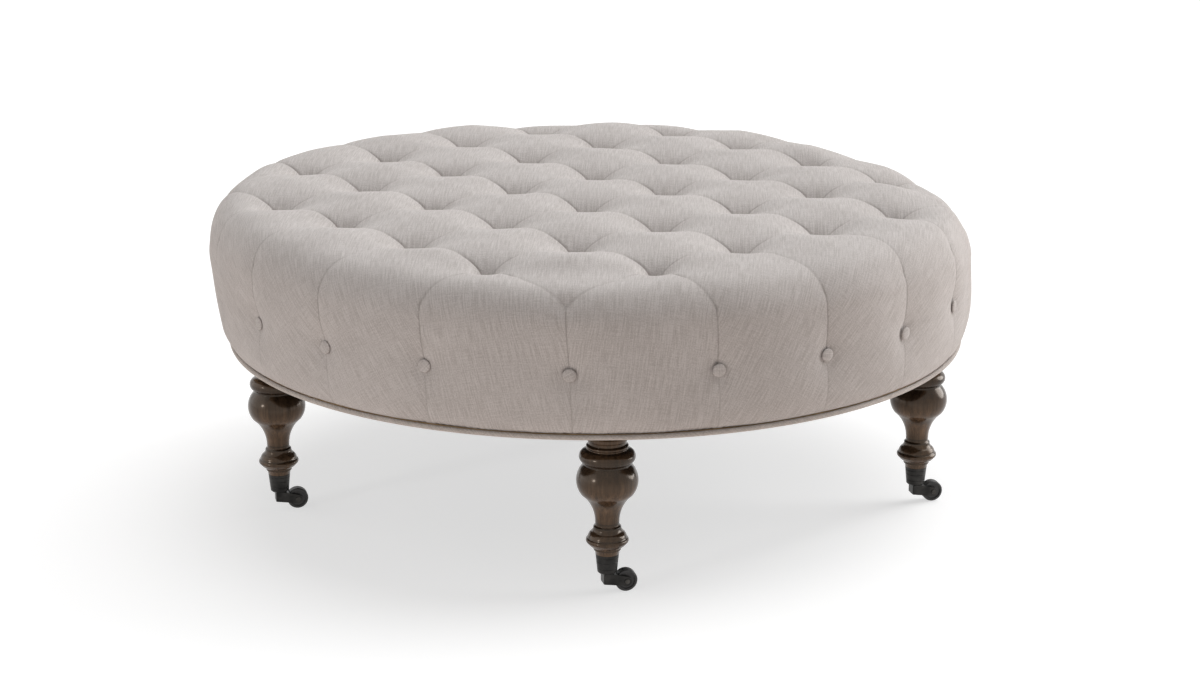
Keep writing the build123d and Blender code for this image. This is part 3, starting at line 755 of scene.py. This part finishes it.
def makeWelt():
    bm = bmesh.new()
    ring = bmesh.ops.create_circle(bm, segments=welt["sides"], radius=welt["radius"])
    turnUp = Matrix.Rotation(math.radians(90), 3, "X")
    bmesh.ops.rotate(bm, verts=ring["verts"], cent=(0, 0, 0), matrix=turnUp)
    bmesh.ops.translate(bm, verts=ring["verts"], vec=(welt["circle"], 0, welt["height"]))
    spinRound(bm, bm.verts[:] + bm.edges[:], welt["steps"])
    uvLayer = bm.loops.layers.uv.new("cloth")
    for face in bm.faces:
        middle = face.calc_center_median()
        middleTurn = math.atan2(middle.y, middle.x)
        for loop in face.loops:
            co = loop.vert.co
            turn = middleTurn + turnBetween(math.atan2(co.y, co.x), middleTurn)
            swing = math.atan2(co.z - welt["height"], math.hypot(co.x, co.y) - welt["circle"])
            along, girth = turn * welt["circle"], swing * welt["radius"]
            loop[uvLayer].uv = ((along + girth) * 0.707, (along - girth) * 0.707)  # cut on the bias
    return meshFrom(bm, "footWelt")


linenWelt = makeLinen("linenWelt", "cloth", tint=welt["tint"])
placePiece("footWelt", makeWelt(), linenWelt, "ottoman", ("welt_cord",))
print("welt laid")


# the turned legs
leg = {
    "bulbRadius": 0.0393,
    "footHeight": 0.052,
    "steps": 96,
    "arcPoints": 9,
    # heights of the dark rings of painted shade at the turned grooves
    "grooves": (0.046, 0.136, 0.222, 0.252, 0.724, 0.837, 0.878, 0.952),
    "grooveShadeShare": 0.010,
    # painted light and shade at each height share: palest on the tapers, as if lit from the floor below, dark on
    # the bulb under the seat
    "lightAndShadeTones": [
        (0.00, 0.86), (0.06, 0.86), (0.11, 0.70), (0.17, 0.66), (0.22, 0.42), (0.26, 0.75), (0.30, 1.00),
        (0.39, 1.00), (0.43, 0.58), (0.46, 0.76), (0.50, 1.00), (0.58, 0.76), (0.66, 0.36), (0.74, 0.30),
        (0.79, 0.32), (0.83, 0.80), (0.89, 0.62), (0.94, 0.98), (1.00, 1.00),
    ],
    # radius and height shares and outward bow of each stretch, from the top down
    "outlineShares": [
        (0.725, 1.000, 0.0), (0.725, 0.976, 0.0), (0.625, 0.952, -0.03), (0.630, 0.905, 0.04),
        (0.615, 0.885, 0.0), (0.655, 0.875, 0.0), (0.655, 0.850, 0.03), (0.665, 0.842, 0.0),
        (0.735, 0.832, 0.0), (0.770, 0.733, 0.16), (0.765, 0.720, 0.0), (0.855, 0.486, 0.19),
        (0.392, 0.255, -0.125), (0.385, 0.234, 0.0), (0.450, 0.222, 0.0), (0.520, 0.180, -0.02),
        (0.630, 0.142, 0.02), (0.645, 0.132, 0.0), (0.645, 0.092, 0.05), (0.460, 0.057, 0.02),
        (0.445, 0.045, 0.0), (0.405, 0.030, 0.02),
    ],
    "footRadius": 0.0150,
    "tenonRadii": (0.0136, 0.0113),
    "tenonFoot": 0.0294,
    "edgeBevel": 0.0005,
    "edgeAngle": math.radians(24),
    # the wood, its glaze and the painted shade in its grooves
    "grainStops": [(0.34, srgb(58, 43, 30)), (0.52, srgb(86, 66, 49)), (0.70, srgb(113, 89, 68))],
    "grainShare": 0.72,
    "poreColour": srgb(24, 16, 11),
    "poreShow": 0.35,
    "grooveShade": 0.25,
    "roughness": (0.14, 0.10),
    "specular": 0.48,
    "specularTint": srgb(245, 226, 208),
}
leg["height"] = ottoman["underside"] - leg["footHeight"]


def bowedLine(start, end, bow):
    # points after start up to end, on a circle's arc that stands out by bow
    start, end = Vector(start), Vector(end)
    if abs(bow) < 1e-6:
        return [end]
    chord = end - start
    outward = Vector((-chord.y, chord.x)).normalized()
    points = []
    radius = (chord.length**2 / 4 + bow**2) / (2 * abs(bow))
    middle = (start + end) / 2 + outward * (bow - math.copysign(radius, bow))
    first = start - middle
    last = end - middle
    sweep = math.atan2(first.x * last.y - first.y * last.x, first.dot(last))
    for i in range(1, leg["arcPoints"] + 1):
        points.append(middle + Matrix.Rotation(sweep * i / leg["arcPoints"], 2) @ first)
    return points


def legOutline():
    corner = None
    points = []
    for radiusShare, heightShare, bowShare in leg["outlineShares"]:
        following = (radiusShare * leg["bulbRadius"], leg["footHeight"] + heightShare * leg["height"])
        if corner is None:
            points.append(Vector(following))
        else:
            points += bowedLine(corner, following, bowShare * leg["bulbRadius"])
        corner = following
    return points


def makeLeg(name, centre):
    # below the turning, the foot stands on the ferrule and its tenon goes down into it
    outline = [(0, ottoman["underside"])] + [tuple(p) for p in legOutline()]
    tenonTop, tenonEnd = leg["tenonRadii"]
    outline += [(leg["footRadius"], leg["footHeight"]), (tenonTop, leg["footHeight"])]
    outline += [(tenonEnd, leg["tenonFoot"]), (0, leg["tenonFoot"])]
    bm = bmesh.new()
    spinOutline(bm, outline, leg["steps"])
    sharp = [e for e in bm.edges if e.calc_face_angle(0) > leg["edgeAngle"] and len(e.link_faces) == 2]
    bmesh.ops.bevel(
        bm, geom=sharp, offset=leg["edgeBevel"], offset_type="OFFSET", segments=2, profile=0.5,
        affect="EDGES", material=-1, clamp_overlap=True,
    )
    bmesh.ops.translate(bm, verts=bm.verts, vec=centre)
    return meshFrom(bm, name)


def makeLegWood():
    material, tree, shader = newMaterial("turnedWood")
    place = addNode(tree, "ShaderNodeTexCoord").outputs["Object"]
    grain = noiseAt(tree, place, 1.0, (170, 170, 9), 4.0, 0.6)
    pores = noiseAt(tree, place, 1.0, (520, 520, 30), 2.0, 0.5)
    patch = noiseAt(tree, place, 22.0, detail=2.0)
    blend = mathNode(tree, "MULTIPLY", patch, 1 - leg["grainShare"])
    blend = mathNode(tree, "MULTIPLY_ADD", grain, leg["grainShare"], blend)
    colour = rampNode(tree, blend, leg["grainStops"])
    poreMask = rampNode(tree, pores, [(0.56, grey(0)), (0.72, grey(1))])
    colour = mixColours(tree, mathNode(tree, "MULTIPLY", poreMask, leg["poreShow"]), colour, leg["poreColour"])
    # painted shade darkens the turned grooves
    level = addNode(tree, "ShaderNodeSeparateXYZ", {0: place}).outputs[2]
    share = mathNode(tree, "DIVIDE", mathNode(tree, "SUBTRACT", level, leg["footHeight"]), leg["height"])
    stops = [(0.0, grey(1))]
    for groove in leg["grooves"]:
        stops += [(groove - leg["grooveShadeShare"], grey(1)), (groove, grey(leg["grooveShade"]))]
        stops.append((groove + leg["grooveShadeShare"], grey(1)))
    colour = mixColours(tree, 1.0, colour, rampNode(tree, share, stops), "MULTIPLY")
    # painted light and shade by height: pale tapers, dark bulb
    lightAndShadeStops = [(heightShare, grey(tone)) for heightShare, tone in leg["lightAndShadeTones"]]
    colour = mixColours(tree, 1.0, colour, rampNode(tree, share, lightAndShadeStops), "MULTIPLY")
    tree.links.new(colour, shader.inputs["Base Color"])
    least, spread = leg["roughness"]
    tree.links.new(mathNode(tree, "MULTIPLY_ADD", patch, spread, least), shader.inputs["Roughness"])
    tree.links.new(bumpNode(tree, pores, 0.10, 0.0003), shader.inputs["Normal"])
    shader.inputs["Specular IOR Level"].default_value = leg["specular"]
    shader.inputs["Specular Tint"].default_value = leg["specularTint"]
    return material


turnedWood = makeLegWood()
for number, turn in enumerate(legTurns(), 1):
    legName = f"turnedLeg{number}"
    legMesh = makeLeg(legName, around(ottoman["legCircle"], turn))
    placePiece(legName, legMesh, turnedWood, "ottoman", (f"leg_{number}",))
print("legs turned")


# metals, wheels and the hidden parts keep their solids and take finished materials
def makeMetal(name, dark, pale, roughness, grainScale, metallic=1.0):
    material, tree, shader = newMaterial(name)
    place = addNode(tree, "ShaderNodeTexCoord").outputs["Object"]
    mottle = noiseAt(tree, place, grainScale, detail=3.0)
    scratch = noiseAt(tree, place, 1.0, (grainScale * 6, grainScale * 6, grainScale), 2.0)
    tree.links.new(rampNode(tree, mottle, [(0.3, dark), (0.75, pale)]), shader.inputs["Base Color"])
    tree.links.new(mathNode(tree, "MULTIPLY_ADD", scratch, 0.18, roughness - 0.09), shader.inputs["Roughness"])
    tree.links.new(bumpNode(tree, scratch, 0.06, 0.0002), shader.inputs["Normal"])
    shader.inputs["Metallic"].default_value = metallic
    return material


def makeBoardWood(name, dark, pale, alongScale):
    material, tree, shader = newMaterial(name)
    place = addNode(tree, "ShaderNodeTexCoord").outputs["Object"]
    grain = noiseAt(tree, place, 1.0, alongScale, 5.0, 0.6)
    tree.links.new(rampNode(tree, grain, [(0.3, dark), (0.7, pale)]), shader.inputs["Base Color"])
    tree.links.new(bumpNode(tree, grain, 0.2, 0.0005), shader.inputs["Normal"])
    shader.inputs["Roughness"].default_value = 0.7
    return material


def makePlain(name, dark, pale, scale, roughness, bump):
    material, tree, shader = newMaterial(name)
    place = addNode(tree, "ShaderNodeTexCoord").outputs["Object"]
    speck = noiseAt(tree, place, scale, detail=3.0, roughness=0.6)
    tree.links.new(rampNode(tree, speck, [(0.3, dark), (0.7, pale)]), shader.inputs["Base Color"])
    tree.links.new(bumpNode(tree, speck, bump, 0.0006), shader.inputs["Normal"])
    shader.inputs["Roughness"].default_value = roughness
    return material


blackMetal = makeMetal("blackMetal", srgb(30, 29, 28), srgb(62, 60, 58), 0.36, 60, 0.75)
axleSteel = makeMetal("axleSteel", srgb(52, 50, 48), srgb(98, 95, 91), 0.32, 90)
fastenerSteel = makeMetal("fastenerSteel", srgb(150, 148, 142), srgb(196, 193, 186), 0.30, 120)
wheelBlack = makePlain("wheelBlack", srgb(26, 25, 25), srgb(48, 46, 45), 240, 0.42, 0.08)
frameWood = makeBoardWood("frameWood", srgb(176, 142, 100), srgb(214, 184, 142), (8, 60, 60))
foamPad = makePlain("foamPad", srgb(214, 196, 150), srgb(236, 222, 184), 420, 0.95, 0.5)
waxTwine = makePlain("waxTwine", srgb(196, 186, 164), srgb(224, 216, 198), 900, 0.8, 0.4)
blackCambric = makePlain("blackCambric", srgb(22, 22, 23), srgb(40, 40, 41), 1200, 0.92, 0.35)

nodeMaterials = {
    "foam_core": foamPad,
    "top_twines": waxTwine,
    "side_twines": waxTwine,
    "top_ties": waxTwine,
    "side_ties": waxTwine,
    "base_ring": frameWood,
    "side_hoop": frameWood,
    "deck_board": frameWood,
    "left_joist": frameWood,
    "right_joist": frameWood,
    "leg_block": frameWood,
    "deck_screws": fastenerSteel,
    "block_screws": fastenerSteel,
    "hanger_bolts": fastenerSteel,
    "bolt_washers": fastenerSteel,
    "bolt_nuts": fastenerSteel,
    "cover_staples": fastenerSteel,
    "dust_cover": blackCambric,
    "swivel_pins": axleSteel,
    "ferrule": blackMetal,
    "caster_horn": blackMetal,
    "caster_axle": axleSteel,
    "caster_wheel": wheelBlack,
}
for nodeName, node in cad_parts.items():
    kind = nodeName.rstrip("0123456789").rstrip("_")
    if kind in nodeMaterials:
        node.data.materials.clear()
        node.data.materials.append(nodeMaterials[kind])
print("carried nodes finished")


# floor, light and camera
studio = {
    "floorReach": 14.0,
    "floorColour": 0.86,
    "floorWhitening": 0.46,
    "floorGlow": 1.31,
    "floorBounce": 0.50,
    "ambient": 0.175,
    "warmth": (1.0, 0.912, 0.855, 1),
    # each lamp: where it shines from, its strength and how soft its shadow is, in degrees
    "lamps": [
        ("topLamp", (0.30, 0.40, 1.0), 1.93, 60),
        ("rightLamp", (0.94, 0.34, 0.36), 1.90, 40),
        ("leftLamp", (-1.0, -0.05, 0.20), 0.70, 80),
        ("glintLamp", (-0.85, -0.60, 0.30), 0.32, 7),
    ],
}


def seenDirectly(tree):
    path = addNode(tree, "ShaderNodeLightPath")
    total = mathNode(tree, "ADD", path.outputs["Is Camera Ray"], path.outputs["Is Glossy Ray"])
    total = mathNode(tree, "ADD", total, path.outputs["Is Transmission Ray"])
    return mathNode(tree, "MINIMUM", total, 1.0)


def makeFloor():
    bm = bmesh.new()
    bmesh.ops.create_grid(bm, x_segments=4, y_segments=4, size=studio["floorReach"])
    mesh = bpy.data.meshes.new("studioFloor")
    bm.to_mesh(mesh)
    bm.free()
    floor = bpy.data.objects.new("studioFloor", mesh)
    bpy.context.scene.collection.objects.link(floor)
    material, tree, shader = newMaterial("studioFloor")
    seen = seenDirectly(tree)
    bounced = mixColours(tree, 1.0, grey(studio["floorColour"]), studio["warmth"], "MULTIPLY")
    tree.links.new(mixColours(tree, seen, bounced, grey(1.0)), shader.inputs["Base Color"])
    shader.inputs["Roughness"].default_value = 1.0
    shader.inputs["Specular IOR Level"].default_value = 0.0
    glow = mathNode(tree, "MULTIPLY_ADD", seen, studio["floorGlow"] - 1.0, 1.0)
    glowColour = mixColours(tree, seen, studio["warmth"], grey(1.0))
    white = addNode(tree, "ShaderNodeEmission", {"Color": glowColour, "Strength": glow})
    whitening = studio["floorWhitening"] - studio["floorBounce"]
    share = mathNode(tree, "MULTIPLY_ADD", seen, whitening, studio["floorBounce"])
    mixed = addNode(tree, "ShaderNodeMixShader", {0: share, 1: shader.outputs[0], 2: white.outputs[0]})
    tree.links.new(mixed.outputs[0], tree.nodes["Material Output"].inputs[0])
    mesh.materials.append(material)


def makeWorld():
    world = bpy.data.worlds.new("studioWorld")
    world.use_nodes = True
    bpy.context.scene.world = world
    tree = world.node_tree
    tree.nodes.clear()
    soft = addNode(tree, "ShaderNodeBackground", {"Color": grey(1.0), "Strength": studio["ambient"]})
    white = addNode(tree, "ShaderNodeBackground", {"Color": grey(1.0), "Strength": 1.0})
    seen = seenDirectly(tree)
    mixed = addNode(tree, "ShaderNodeMixShader", {0: seen, 1: soft.outputs[0], 2: white.outputs[0]})
    output = addNode(tree, "ShaderNodeOutputWorld")
    tree.links.new(mixed.outputs[0], output.inputs[0])


def addLamp(name, fromPlace, strength, softness):
    data = bpy.data.lights.new(name, "SUN")
    data.energy = strength
    data.angle = math.radians(softness)
    lamp = bpy.data.objects.new(name, data)
    lamp.location = Vector(fromPlace) * 3
    lamp.rotation_mode = "QUATERNION"
    lamp.rotation_quaternion = (-Vector(fromPlace)).to_track_quat("-Z", "Y")
    bpy.context.scene.collection.objects.link(lamp)


camera = {
    "turn": math.radians(-1.9),
    "place": (0.0063, -3.3725, 1.1744),
    "target": (0.0063, 0.0, 0.2017),
    "lens": 73.41,
}


def makeCamera():
    data = bpy.data.cameras.new("camera")
    data.lens = camera["lens"]
    data.sensor_width = 36.0
    item = bpy.data.objects.new("camera", data)
    bpy.context.scene.collection.objects.link(item)
    swing = Matrix.Rotation(camera["turn"], 3, "Z")
    place, target = swing @ Vector(camera["place"]), swing @ Vector(camera["target"])
    item.location = place
    item.rotation_mode = "QUATERNION"
    item.rotation_quaternion = (target - place).to_track_quat("-Z", "Y")
    bpy.context.scene.camera = item


makeFloor()
makeWorld()
for lamp in studio["lamps"]:
    addLamp(*lamp)
makeCamera()
bpy.context.scene.view_settings.view_transform = "Standard"
print("studio set")
